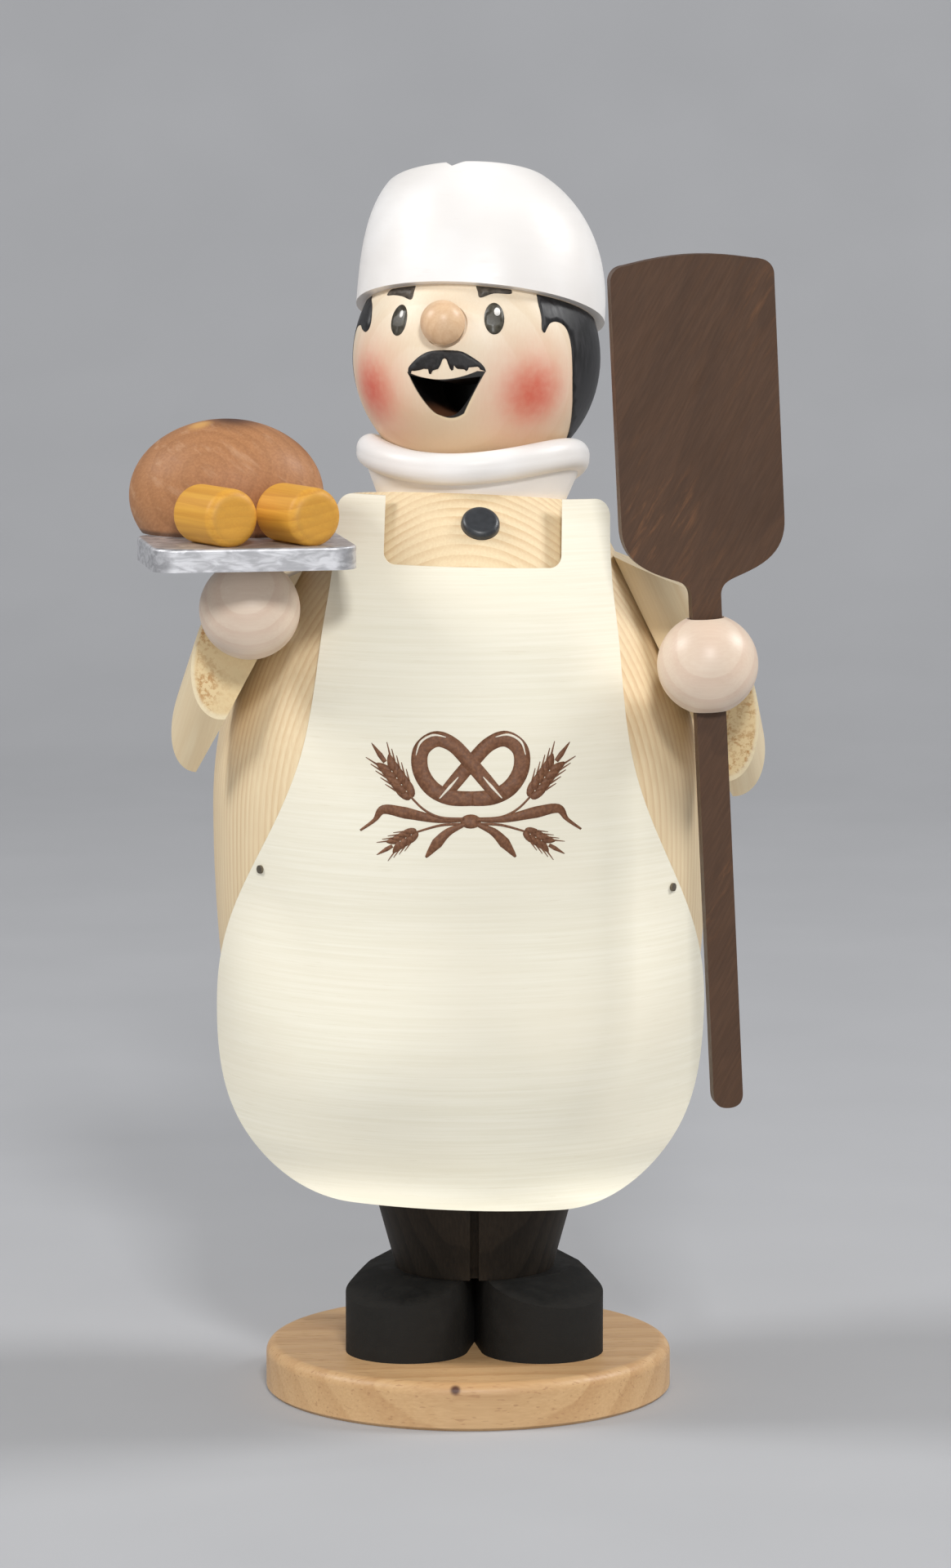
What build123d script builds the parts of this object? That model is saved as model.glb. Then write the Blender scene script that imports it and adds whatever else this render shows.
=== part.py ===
# Turned wooden incense smoker: a baker with a bread tray and a bread peel.
# Millimetres, +Z up, the figure faces -Y, origin at the centre of the base's underside.
import os
from math import cos, radians, sin, sqrt, tan
from build123d import *

os.makedirs("parts", exist_ok=True)

# Clearances
glue_gap = 0.05
slip_gap = 0.08
veneer_gap = 0.2
end_gap = 0.3

# Base, shoes and legs
base_r = 32.6
base_t = 7.5
base_round = 1.8
base_edge = 0.5
legs_x = 1.0
shoe_h = 12.3
instep_slope = 18.0
instep_tilt = 4.0
toe_r = 9.8
toe_x = 10.8
toe_y = -8.4
heel_r = 7.4
heel_x = 5.2
heel_y = 12.4
ankle_r = 12.7
ankle_ledge = 0.5
legs_h = 14.2
legs_ledge = 2.6
groove_w = 1.4
groove_d = 1.8
spigot_h = 8.5
spigot_edge = 1.0
stand_dowel_r = 2.5
stand_dowel_x = 5.8
stand_dowel_y = 1.0
stand_dowel_up = 9.0
stand_dowel_down = 5.0

# Dish for the incense cone
dish_gap = 1.4
dish_flare = 1.2
dish_rim_h = 2.2
dish_sheet = 0.5
dish_nail_r = 0.8
dish_nail_l = 6.0
dish_nail_head = 0.7

# Torso: turned on its own axis, bored from below over the legs' spigot
body_x = -1.2
foot_r = 21.0
belly_r = 39.5
belly_up = 61.0
flank_in = 0.6
flank_drop = 18.0
neck_r = 18.5
neck_up = 109.8
chamber_r = 14.0
chamber_h = 70.0
chamber_cone = 8.0
draught_r = 3.6
draught_up = 8.0

# Neck, head and hat lean back and turn together
face_turn = 15.5
neck_lean = 8.0
hat_lean = 18.0
neck_x = 0.5
sleeve_r = 6.4
sleeve_wall = 1.8
sleeve_down = 17.0
sleeve_up = 11.0
head_r = 19.6
chin_gap = 2.7
flue_below = 2.0
collar_in = 1.1
collar_flare = 3.6
collar_h = 14.0
collar_foot_h = 5.2
collar_foot_flare = 2.1
collar_thick = 5.0
collar_front = 6.2
saddle_r = 36.0
mouth_half = 6.0
mouth_drop = 4.1
mouth_dip = 0.9
mouth_h = 6.6
mouth_in = 2.0
mouth_narrow = 0.7
nose_r = 3.5
nose_sink = 0.9
nose_proud = 1.4
nose_up = 11.0
nose_peg_r = 1.2
nose_peg_l = 5.0
hat_plane = 7.3
hat_brim = 1.6
hat_h = 25.2
hat_fall = 3.4
hat_power = 2.5
hat_top_drop = 3.6
hat_top_tilt = 5.5
hat_top_round = 1.5
hat_dowel_r = 3.0
hat_dowel_half = 6.0
crease_side = -0.7
crease_slope = 1.7
crease_d = 0.6
crease_over = 3.0
crease_arc = 200.0

# Apron of thin veneer, two nails and a button
veneer_t = 0.8
apron_tilt = 1.5
hem_up = 2.0
hem_half = 16.0
hem_side = 6.3
hem_rise = 6.3
skirt_up = 31.0
skirt_in = 0.9
hip_drop = 12.4
hip_in = 4.4
waist_rise = 11.3
waist_in = 13.8
chest_half = 22.9
bib_half = 21.4
bib_drop = 8.3
strap_w = 7.6
strap_rise = 1.5
strap_corner = 2.5
strap_inner = 1.8
nail_r = 0.4
nail_head_r = 0.65
nail_head_h = 0.35
nail_l = 7.0
right_nail_in = 8.4
right_nail_drop = 6.8
left_nail_in = 6.4
left_nail_drop = 10.0
button_turn = 8.6
button_drop = 2.2
button_r = 3.0
button_h = 1.7
button_sink = 0.5
button_round = 0.9

# Arms and hands
arm_r = 6.5
hand_r = 7.8
bead_half = 7.2
arm_dowel_r = 2.0
shoulder_flat = 2.7
shoulder_dowel_in = 8.0
shoulder_dowel_out = 5.0
shoulder_slope = 22.0
right_shoulder_drop = 17.3
right_shoulder_turn = 22.2
right_shoulder_out = 1.4
right_shoulder_top = 4.6
right_elbow_out = 6.9
right_elbow_ahead = 5.0
right_elbow_drop = 12.2
right_hand_in = 5.0
right_hand_ahead = 12.5
right_hand_rise = 15.1
right_cuff_back = 5.2
right_cuff_lean = 4.0
left_shoulder_drop = 18.8
left_shoulder_turn = 18.4
left_shoulder_out = 3.0
left_shoulder_top = 6.3
left_elbow_out = 7.2
left_elbow_ahead = 6.3
left_elbow_drop = 16.2
left_hand_in = 2.7
left_hand_ahead = 14.5
left_hand_rise = 12.3
left_cuff_back = 5.6
left_cuff_lean = 21.0

# Tray, bread and peel
tray_w = 31.4
tray_d = 24.0
tray_t = 3.6
tray_corner = 3.6
tray_edge = 0.5
tray_side = -0.3
tray_ahead = 5.2
tray_turn = 10.0
tray_sink = 0.2
tray_pin_r = 1.5
tray_pin_down = 5.6
tray_pin_up = 2.0
loaf_side = -3.5
loaf_back = 13.2
loaf_half = 15.1
loaf_r = 11.8
loaf_mid = 5.8
roll_r = 4.5
roll_l = 12.2
roll_turn = 32.0
roll_sink = 0.15
roll_round = 1.7
left_roll_side = -4.5
left_roll_ahead = 6.0
right_roll_side = 8.0
right_roll_ahead = 4.0
peel_t = 3.2
peel_lean = 2.8
peel_turn = 8.0
peel_half = 12.7
peel_top = 63.2
peel_corner = 2.4
peel_crown = 1.2
blade_foot = 22.0
blade_neck = 10.6
handle_half = 2.3
handle_l = 69.4

# Heights and radii that follow
ankle_z = base_t + shoe_h
legs_top = ankle_z + legs_h
dish_z = legs_top + spigot_h
belly_z = legs_top + belly_up
neck_z = legs_top + neck_up
chamber_top = legs_top + chamber_h
legs_top_r = chamber_r + legs_ledge
dish_rim_r = chamber_r - dish_gap
dish_r = dish_rim_r - dish_flare
sleeve_bore_r = sleeve_r - sleeve_wall
head_up = head_r + chin_gap
collar_r = head_r - collar_in
collar_foot_r = collar_r - collar_flare
collar_round = 0.44 * collar_thick
hat_r = sqrt(head_r**2 - hat_plane**2) + hat_brim
shoulder_arc = ((neck_z - belly_z) ** 2 + (belly_r - neck_r) ** 2) / (2 * (belly_r - neck_r))
stock_top = neck_z + neck_r * tan(radians(neck_lean)) + end_gap
stand_dowel_places = [(legs_x - stand_dowel_x, stand_dowel_y), (legs_x + stand_dowel_x, stand_dowel_y)]


def torso_r(z):
    """Radius of the turned torso at a height from the belly up."""
    return belly_r - shoulder_arc + sqrt(shoulder_arc**2 - (z - belly_z) ** 2)


def leaning(origin, lean):
    """Plane that faces where the baker looks and leans back by an angle."""
    turn = radians(face_turn)
    back = radians(lean)
    up = (sin(back) * sin(turn), sin(back) * cos(turn), cos(back))
    return Plane(origin=origin, x_dir=(cos(turn), -sin(turn), 0), z_dir=up)


def upright(seat):
    """Plane through a seat's axis, seen from the front."""
    return Plane(origin=seat.origin, x_dir=seat.x_dir, z_dir=-seat.y_dir)


body_axis = Axis((body_x, 0, 0), (0, 0, 1))
legs_axis = Axis((legs_x, 0, 0), (0, 0, 1))
body_front = Plane(origin=(body_x, 0, 0), x_dir=(1, 0, 0), z_dir=(0, -1, 0))
legs_front = Plane(origin=(legs_x, 0, 0), x_dir=(1, 0, 0), z_dir=(0, -1, 0))
instep_rise = (ankle_r + ankle_ledge) * tan(radians(instep_slope + instep_tilt))
instep = Plane(
    origin=(legs_x, 0, ankle_z + instep_rise),
    x_dir=(1, 0, 0),
    z_dir=(0, -sin(radians(instep_tilt)), cos(radians(instep_tilt))),
)
neck = leaning((neck_x, 0, neck_z), neck_lean)
skull = neck.offset(head_up)
hat_seat = leaning(skull.origin, hat_lean).offset(hat_plane)
neck_front = upright(neck)
face = upright(skull)
hat_front = upright(hat_seat)
nose_line = (face.z_dir * cos(radians(nose_up)) + skull.z_dir * sin(radians(nose_up))).normalized()
nose_base = Plane(origin=skull.origin + nose_line * (head_r - nose_sink), z_dir=nose_line)


def on_torso(turn, z, out):
    """Point beside the torso at an angle from the X axis, a height and a distance from its skin."""
    reach = torso_r(z) + out
    return Vector(body_x + reach * cos(radians(turn)), reach * sin(radians(turn)), z)


def torso_seat(turn, z, sink):
    """Flat that something is glued to, sunk into the torso's skin and facing outwards."""
    rise = (z - belly_z) / shoulder_arc
    run = sqrt(1 - rise**2)
    out = Vector(run * cos(radians(turn)), run * sin(radians(turn)), rise)
    return Plane(origin=on_torso(turn, z, 0) - out * sink, z_dir=out)


def shoulder_seat(turn, shoulder):
    """Flat on the torso's side with its origin under the shoulder."""
    flat = torso_seat(turn, shoulder.Z, shoulder_flat)
    away = (shoulder - flat.origin).dot(flat.z_dir)
    return Plane(origin=shoulder - flat.z_dir * away, z_dir=flat.z_dir)


def cuff_plane(palm, back, lean):
    """Cut across a forearm's end that a hand is glued to, facing forwards and a little down."""
    out = Vector(0, -cos(radians(lean)), -sin(radians(lean)))
    return Plane(origin=palm - out * back, z_dir=out)


# Arm lines: shoulder, elbow and hand centres, and the button above the bib
right_turn = 180 + right_shoulder_turn
left_turn = -left_shoulder_turn
right_shoulder = on_torso(right_turn, neck_z - right_shoulder_drop, right_shoulder_out)
left_shoulder = on_torso(left_turn, neck_z - left_shoulder_drop, left_shoulder_out)
right_seat = shoulder_seat(180, right_shoulder)
left_seat = shoulder_seat(0, left_shoulder)
button_seat = torso_seat(button_turn - 90, neck_z - button_drop, button_sink)
right_upper = Vector(-right_elbow_out, -right_elbow_ahead, -right_elbow_drop)
right_lower = Vector(right_hand_in, -right_hand_ahead, right_hand_rise)
left_upper = Vector(left_elbow_out, -left_elbow_ahead, -left_elbow_drop)
left_lower = Vector(-left_hand_in, -left_hand_ahead, left_hand_rise)
right_elbow = right_shoulder + right_upper
left_elbow = left_shoulder + left_upper
right_palm = right_elbow + right_lower
left_palm = left_elbow + left_lower
right_up = -right_upper.normalized()
left_up = -left_upper.normalized()
right_fore = right_lower.normalized()
left_fore = left_lower.normalized()
right_mitre = Plane(origin=right_elbow, z_dir=right_fore - right_up)
left_mitre = Plane(origin=left_elbow, z_dir=left_fore - left_up)
right_cuff = cuff_plane(right_palm, right_cuff_back, right_cuff_lean)
left_cuff = cuff_plane(left_palm, left_cuff_back, left_cuff_lean)
right_slope_up = Vector(-sin(radians(shoulder_slope)), 0, cos(radians(shoulder_slope)))
left_slope_up = Vector(sin(radians(shoulder_slope)), 0, cos(radians(shoulder_slope)))
right_slope = Plane(origin=right_shoulder + right_slope_up * right_shoulder_top, z_dir=right_slope_up)
left_slope = Plane(origin=left_shoulder + left_slope_up * left_shoulder_top, z_dir=left_slope_up)
arm_stock = right_upper.length + right_lower.length + left_upper.length + left_lower.length

# Apron sheet: its bend, its outline's plane and the nails in it
hem_z = legs_top + hem_up
skirt_z = legs_top + skirt_up
hip_z = belly_z - hip_drop
waist_z = belly_z + waist_rise
strap_top = neck_z + strap_rise
bib_top = neck_z - bib_drop
chest_z = (waist_z + strap_top) / 2
skirt_half = belly_r - skirt_in
hip_half = belly_r - hip_in
waist_half = belly_r - waist_in
strap_in = bib_half - strap_w
sheet_r = belly_r + veneer_gap
sheet_top = stock_top + end_gap
apron_front = Plane(
    origin=(body_x, 0, skirt_z),
    x_dir=(cos(radians(apron_tilt)), 0, -sin(radians(apron_tilt))),
    z_dir=(0, -1, 0),
)


def nail_plane(x, z):
    """Plane on the apron's face at a nail, facing outwards."""
    front_r = torso_r(max(z, belly_z)) + veneer_gap
    y = sheet_r - front_r - sqrt((sheet_r + veneer_t + glue_gap) ** 2 - x**2)
    return Plane(origin=(body_x + x, y, z), z_dir=(x, y - sheet_r + front_r, 0))


right_nail = nail_plane(right_nail_in - belly_r, belly_z - right_nail_drop)
left_nail = nail_plane(belly_r - left_nail_in, belly_z - left_nail_drop)

# Tray on the right hand, bread on the tray, peel through the left hand
tray_x = right_palm.X + tray_side
tray_y = right_palm.Y - tray_ahead
tray_z = right_palm.Z + hand_r - tray_sink
bread_z = tray_z + tray_t
roll_line = Vector(sin(radians(roll_turn)), -cos(radians(roll_turn)), 0)
roll_axis_z = bread_z + roll_r - roll_sink
left_roll_mid = Vector(tray_x + left_roll_side, tray_y - left_roll_ahead, roll_axis_z)
right_roll_mid = Vector(tray_x + right_roll_side, tray_y - right_roll_ahead, roll_axis_z)
peel_up = Vector(-sin(radians(peel_lean)), 0, cos(radians(peel_lean)))
peel_out = Vector(
    sin(radians(peel_turn)) * cos(radians(peel_lean)),
    -cos(radians(peel_turn)),
    sin(radians(peel_turn)) * sin(radians(peel_lean)),
)
peel_face = Plane(origin=left_palm, x_dir=peel_up.cross(peel_out), z_dir=peel_out)
peel_line = Plane(origin=left_palm, z_dir=peel_up)
peel_bore_r = sqrt(handle_half**2 + (peel_t / 2) ** 2) + glue_gap

# Base: a turned disc with a softened upper edge
with BuildPart() as base_plate:
    Cylinder(base_r, base_t, align=(Align.CENTER, Align.CENTER, Align.MIN))
    fillet(base_plate.edges().sort_by(Axis.Z)[-1], base_round)
    chamfer(base_plate.edges().sort_by(Axis.Z)[0], base_edge)
    with BuildSketch(Plane.XY.offset(base_t)):
        with Locations(*stand_dowel_places):
            Circle(stand_dowel_r + glue_gap)
    extrude(amount=-stand_dowel_down, mode=Mode.SUBTRACT)
base_plate.part.label = "base_plate"
export_step(base_plate.part, "parts/base_plate.step")

# Shoes: one block with two toes, its top a cone that falls towards the toes
with BuildPart() as shoes:
    with BuildSketch(Plane.XY.offset(base_t)):
        with Locations((legs_x + toe_x, toe_y)):
            Circle(toe_r)
        with Locations((legs_x + heel_x, heel_y)):
            Circle(heel_r)
        make_hull()
        mirror(about=Plane.YZ.offset(legs_x))
    extrude(amount=shoe_h)
    with BuildSketch(upright(instep)):
        with BuildLine():
            Polyline(
                (0, 0),
                (base_r, -base_r * tan(radians(instep_slope))),
                (base_r, -base_r - ankle_z),
                (0, -base_r - ankle_z),
                close=True,
            )
        make_face()
    revolve(axis=Axis(instep.origin, instep.z_dir), mode=Mode.INTERSECT)
    with BuildSketch(Plane.XY.offset(base_t)):
        with Locations(*stand_dowel_places):
            Circle(stand_dowel_r + glue_gap)
    extrude(amount=shoe_h, mode=Mode.SUBTRACT)
shoes.part.label = "shoes"
export_step(shoes.part, "parts/shoes.step")

# Legs: a cone with a groove front and back, and the spigot that the torso sits over
with BuildPart() as legs:
    with BuildSketch(legs_front):
        with BuildLine():
            Polyline(
                (0, ankle_z),
                (ankle_r, ankle_z),
                (legs_top_r, legs_top),
                (chamber_r - slip_gap, legs_top),
                (chamber_r - slip_gap, dish_z - spigot_edge),
                (chamber_r - slip_gap - spigot_edge, dish_z),
                (0, dish_z),
                close=True,
            )
        make_face()
    revolve(axis=legs_axis)
    with BuildSketch(Plane.YZ.offset(legs_x)):
        with BuildLine():
            Polyline(
                (-ankle_r - groove_d, ankle_z),
                (-ankle_r + groove_d, ankle_z),
                (-legs_top_r + groove_d, legs_top),
                (-legs_top_r - groove_d, legs_top),
                close=True,
            )
        make_face()
        mirror(about=Plane.YZ)
    extrude(amount=groove_w / 2, both=True, mode=Mode.SUBTRACT)
    with BuildSketch(Plane.XY.offset(ankle_z)):
        with Locations(*stand_dowel_places):
            Circle(stand_dowel_r + glue_gap)
    extrude(amount=stand_dowel_up, mode=Mode.SUBTRACT)
    with BuildSketch(Plane.XY.offset(dish_z)):
        with Locations((legs_x, 0)):
            Circle(dish_nail_r)
    extrude(amount=-dish_nail_l, mode=Mode.SUBTRACT)
legs.part.label = "legs"
export_step(legs.part, "parts/legs.step")

# Two dowels that hold base, shoes and legs together
with BuildPart() as stand_dowels:
    with BuildSketch(Plane.XY.offset(base_t - stand_dowel_down)):
        with Locations(*stand_dowel_places):
            Circle(stand_dowel_r)
    extrude(amount=stand_dowel_down + shoe_h + stand_dowel_up)
stand_dowels.part.label = "stand_dowels"
export_step(stand_dowels.part, "parts/stand_dowels.step")

# Tin dish that the incense cone stands on, and its nail
with BuildPart() as incense_dish:
    with BuildSketch(legs_front):
        with BuildLine():
            Polyline(
                (dish_nail_r, dish_z),
                (dish_r, dish_z),
                (dish_rim_r, dish_z + dish_rim_h),
                (dish_rim_r - dish_sheet, dish_z + dish_rim_h),
                (dish_r - dish_sheet / 2, dish_z + dish_sheet),
                (dish_nail_r, dish_z + dish_sheet),
                close=True,
            )
        make_face()
    revolve(axis=legs_axis)
incense_dish.part.label = "incense_dish"
export_step(incense_dish.part, "parts/incense_dish.step")

with BuildPart() as dish_nail:
    with BuildSketch(Plane.XY.offset(dish_z + dish_sheet)):
        with Locations((legs_x, 0)):
            Circle(2 * dish_nail_r)
    extrude(amount=dish_nail_head)
    fillet(dish_nail.edges().group_by(Axis.Z)[-1], 0.7 * dish_nail_head)
    with BuildSketch(Plane.XY.offset(dish_z + dish_sheet)):
        with Locations((legs_x, 0)):
            Circle(dish_nail_r)
    extrude(amount=end_gap - dish_sheet - dish_nail_l)
dish_nail.part.label = "dish_nail"
export_step(dish_nail.part, "parts/dish_nail.step")

# Torso: turned round its axis, bored below for the incense, with a slanted bore for the
# neck and a draught hole behind
with BuildPart() as torso:
    with BuildSketch(body_front):
        with BuildLine():
            foot = Line((0, legs_top), (foot_r, legs_top))
            flank = (belly_r - flank_in, belly_z - flank_drop)
            Spline((belly_r, belly_z), flank, foot @ 1, tangents=((0, -1), (-1, -0.6)))
            chest = TangentArc((belly_r, belly_z), (torso_r(stock_top), stock_top), tangent=(0, 1))
            Line(chest @ 1, (0, stock_top))
            Line((0, stock_top), (0, legs_top))
        make_face()
    revolve(axis=body_axis)
    split(bisect_by=neck, keep=Keep.BOTTOM)
    split(bisect_by=right_seat, keep=Keep.BOTTOM)
    split(bisect_by=left_seat, keep=Keep.BOTTOM)
    with BuildSketch(legs_front):
        with BuildLine():
            Polyline(
                (0, legs_top),
                (chamber_r, legs_top),
                (chamber_r, chamber_top),
                (sleeve_bore_r, chamber_top + chamber_cone),
                (0, chamber_top + chamber_cone),
                close=True,
            )
        make_face()
    revolve(axis=legs_axis, mode=Mode.SUBTRACT)
    with BuildSketch(neck):
        Circle(sleeve_r + glue_gap)
    extrude(amount=-sleeve_down, mode=Mode.SUBTRACT)
    with BuildSketch(neck):
        Circle(sleeve_bore_r)
    extrude(amount=chamber_top - neck_z, mode=Mode.SUBTRACT)
    with BuildSketch(legs_front):
        with Locations((0, dish_z + draught_up)):
            Circle(draught_r)
    extrude(amount=-2 * belly_r, mode=Mode.SUBTRACT)
    with BuildSketch(right_seat, left_seat):
        Circle(arm_dowel_r + glue_gap)
    extrude(amount=-shoulder_dowel_in, mode=Mode.SUBTRACT)
    with BuildSketch(button_seat):
        Circle(button_r + glue_gap)
    extrude(amount=button_r, mode=Mode.SUBTRACT)
    with BuildSketch(right_nail, left_nail):
        Circle(nail_r)
    extrude(amount=-nail_l, mode=Mode.SUBTRACT)
torso.part.label = "torso"
export_step(torso.part, "parts/torso.step")

# Apron: a thin sheet bent over chest and belly, cut to a bib with two straps
with BuildPart() as apron:
    bends = 5
    upper_levels = [belly_z + (sheet_top - belly_z) * step / bends for step in range(bends + 1)]
    for level in [legs_top, skirt_z, (skirt_z + belly_z) / 2] + upper_levels:
        front_r = torso_r(max(level, belly_z)) + veneer_gap
        with BuildSketch(Plane.XY.offset(level)):
            with BuildLine():
                inner = CenterArc((body_x, sheet_r - front_r), sheet_r, 190, 160)
                outer = CenterArc((body_x, sheet_r - front_r), sheet_r + veneer_t, 190, 160)
                Line(inner @ 0, outer @ 0)
                Line(inner @ 1, outer @ 1)
            make_face()
    loft()
    with BuildSketch(apron_front):
        with BuildLine():
            Line((0, hem_z - skirt_z), (hem_half, hem_z - skirt_z))
            Spline(
                (hem_half, hem_z - skirt_z),
                (skirt_half - hem_side, hem_z + hem_rise - skirt_z),
                (skirt_half, 0),
                tangents=((1, 0), (0, 1)),
            )
            Spline(
                (skirt_half, 0),
                (hip_half, hip_z - skirt_z),
                (waist_half, waist_z - skirt_z),
                (chest_half, chest_z - skirt_z),
                (bib_half, strap_top - strap_corner - skirt_z),
                tangents=((0, 1), (0, 1)),
            )
            strap_end = strap_top - skirt_z
            strap_side = (bib_half, strap_end - strap_corner)
            RadiusArc(strap_side, (bib_half - strap_corner, strap_end), -strap_corner)
            Line((bib_half - strap_corner, strap_end), (strap_in, strap_end))
            notch = bib_top - skirt_z
            Line((strap_in, strap_end), (strap_in, notch + strap_inner))
            RadiusArc((strap_in, notch + strap_inner), (strap_in - strap_inner, notch), strap_inner)
            Line((strap_in - strap_inner, notch), (0, notch))
            mirror(about=Plane.YZ)
        make_face()
    extrude(amount=belly_r + sheet_r, mode=Mode.INTERSECT)
    with BuildSketch(right_nail, left_nail):
        Circle(nail_r)
    extrude(amount=-nail_l, mode=Mode.SUBTRACT)
apron.part.label = "apron"
export_step(apron.part, "parts/apron.step")

# Two small nails at the apron's sides
with BuildPart() as apron_nails:
    with BuildSketch(right_nail, left_nail):
        Circle(nail_r)
    extrude(amount=end_gap - nail_l)
    with BuildSketch(right_nail, left_nail):
        Circle(nail_head_r)
    extrude(amount=nail_head_h)
apron_nails.part.label = "apron_nails"
export_step(apron_nails.part, "parts/apron_nails.step")

# Button on the chest
with BuildPart() as chest_button:
    with BuildSketch(button_seat):
        Circle(button_r)
    extrude(amount=button_h)
    fillet(chest_button.edges().group_by(Axis(button_seat.origin, button_seat.z_dir))[-1], button_round)
chest_button.part.label = "chest_button"
export_step(chest_button.part, "parts/chest_button.step")

# Hollow dowel that joins torso, collar and head and carries the smoke
with BuildPart() as neck_sleeve:
    with BuildSketch(neck.offset(-sleeve_down)):
        Circle(sleeve_r)
        Circle(sleeve_bore_r, mode=Mode.SUBTRACT)
    extrude(amount=sleeve_down + sleeve_up)
neck_sleeve.part.label = "neck_sleeve"
export_step(neck_sleeve.part, "parts/neck_sleeve.step")

# Collar: a flared ring whose rim dips in front and behind
with BuildPart() as collar:
    with BuildSketch(neck):
        Circle(collar_r)
    extrude(amount=collar_h)
    with BuildSketch(neck_front):
        with Locations((0, collar_front + saddle_r)):
            Circle(saddle_r + collar_thick)
            Circle(saddle_r, mode=Mode.SUBTRACT)
    extrude(amount=2 * collar_r, both=True, mode=Mode.INTERSECT)
    fillet(collar.edges(), collar_round)
    with BuildSketch(neck):
        Circle(collar_foot_r)
    with BuildSketch(neck.offset(collar_foot_h)):
        Circle(collar_foot_r + collar_foot_flare)
    loft()
    with Locations(skull.location):
        Sphere(head_r + glue_gap, mode=Mode.SUBTRACT)
    with BuildSketch(neck):
        Circle(sleeve_r + glue_gap)
    extrude(amount=collar_h, mode=Mode.SUBTRACT)
collar.part.label = "collar"
export_step(collar.part, "parts/collar.step")

# Head: a ball with a slanted flat for the hat, a bore from below and the open mouth
with BuildPart() as head:
    with Locations(skull.location):
        Sphere(head_r)
    split(bisect_by=hat_seat, keep=Keep.BOTTOM)
    with BuildSketch(neck):
        Circle(sleeve_r + glue_gap)
    extrude(amount=head_up - flue_below, mode=Mode.SUBTRACT)
    for depth, share in ((head_r, 1.0), (mouth_in, mouth_narrow)):
        half = mouth_half * share
        lip = -mouth_drop - mouth_dip * share
        chin = -mouth_drop - mouth_h * share
        jaw = (0.48 * half, 0.23 * -mouth_drop + 0.77 * chin)
        with BuildSketch(face.offset(depth)):
            with BuildLine():
                Polyline((-half, -mouth_drop), (0, lip), (half, -mouth_drop))
                Spline((half, -mouth_drop), jaw, (0, chin), tangents=((-0.45, -1), (-1, 0)))
                Spline((0, chin), (-jaw[0], jaw[1]), (-half, -mouth_drop), tangents=((-1, 0), (-0.45, 1)))
            make_face()
    loft(mode=Mode.SUBTRACT)
    with BuildSketch(nose_base):
        Circle(nose_r + glue_gap)
    extrude(amount=nose_r, mode=Mode.SUBTRACT)
    with BuildSketch(nose_base):
        Circle(nose_peg_r + glue_gap)
    extrude(amount=-nose_peg_l, mode=Mode.SUBTRACT)
    with BuildSketch(hat_seat):
        Circle(hat_dowel_r + glue_gap)
    extrude(amount=-hat_dowel_half, mode=Mode.SUBTRACT)
head.part.label = "head"
export_step(head.part, "parts/head.step")

# Nose: a small ball on a peg
with BuildPart() as nose:
    with Locations(Location(skull.origin + nose_line * (head_r + nose_proud))):
        Sphere(nose_r)
    split(bisect_by=nose_base, keep=Keep.TOP)
    with BuildSketch(nose_base):
        Circle(nose_peg_r)
    extrude(amount=end_gap - nose_peg_l)
nose.part.label = "nose"
export_step(nose.part, "parts/nose.step")


def hat_section_r(share):
    """Radius of the hat at a share of its height."""
    return hat_r * (1 - share**hat_power) ** (1 / hat_power)


# Hat: a soft round cap that falls to one side, flattened on top, with one crease over it
crown_share = 0.94
crown_x = -hat_fall * crown_share**2
crown_r = hat_section_r(crown_share)
crown_rise = hat_h * (1 - crown_share)
crown_arc = (crown_r**2 + crown_rise**2) / (2 * crown_rise)
crease_x = -hat_fall - crease_side
crease_z = hat_h - hat_top_drop + crease_x * tan(radians(hat_top_tilt))
crease_half = crease_slope * (crease_d + crease_over)
hat_top_up = hat_seat.z_dir * cos(radians(hat_top_tilt)) - hat_seat.x_dir * sin(radians(hat_top_tilt))
hat_top = Plane(origin=hat_seat.offset(hat_h - hat_top_drop).origin, z_dir=hat_top_up)
with BuildPart() as hat:
    for share in (0, 0.25, 0.45, 0.62, 0.76, 0.87, crown_share):
        with BuildSketch(hat_seat.offset(hat_h * share)):
            with Locations((-hat_fall * share**2, 0)):
                Circle(hat_section_r(share))
    loft()
    with BuildSketch(hat_front):
        with BuildLine():
            Line((crown_x, hat_h - crown_rise), (crown_x + crown_r, hat_h - crown_rise))
            RadiusArc((crown_x + crown_r, hat_h - crown_rise), (crown_x, hat_h), -crown_arc)
            Line((crown_x, hat_h), (crown_x, hat_h - crown_rise))
        make_face()
    revolve(axis=Axis(hat_front.from_local_coords((crown_x, 0, 0)), hat_seat.z_dir))
    split(bisect_by=hat_top, keep=Keep.BOTTOM)
    fillet(hat.faces().sort_by(Axis(hat_top.origin, hat_top_up))[-1].edges(), hat_top_round)
    with BuildSketch(hat_front):
        with BuildLine():
            Polyline(
                (crease_x - crease_half, crease_z + crease_over),
                (crease_x + crease_half, crease_z + crease_over),
                (crease_x, crease_z - crease_d),
                close=True,
            )
        make_face()
    revolve(axis=Axis(hat_seat.offset(hat_h - crease_arc).origin, hat_seat.x_dir), mode=Mode.SUBTRACT)
    with BuildSketch(hat_seat):
        Circle(hat_dowel_r + glue_gap)
    extrude(amount=hat_dowel_half, mode=Mode.SUBTRACT)
hat.part.label = "hat"
export_step(hat.part, "parts/hat.step")

with BuildPart() as hat_dowel:
    with BuildSketch(hat_seat.offset(end_gap - hat_dowel_half)):
        Circle(hat_dowel_r)
    extrude(amount=2 * (hat_dowel_half - end_gap))
hat_dowel.part.label = "hat_dowel"
export_step(hat_dowel.part, "parts/hat_dowel.step")

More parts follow.
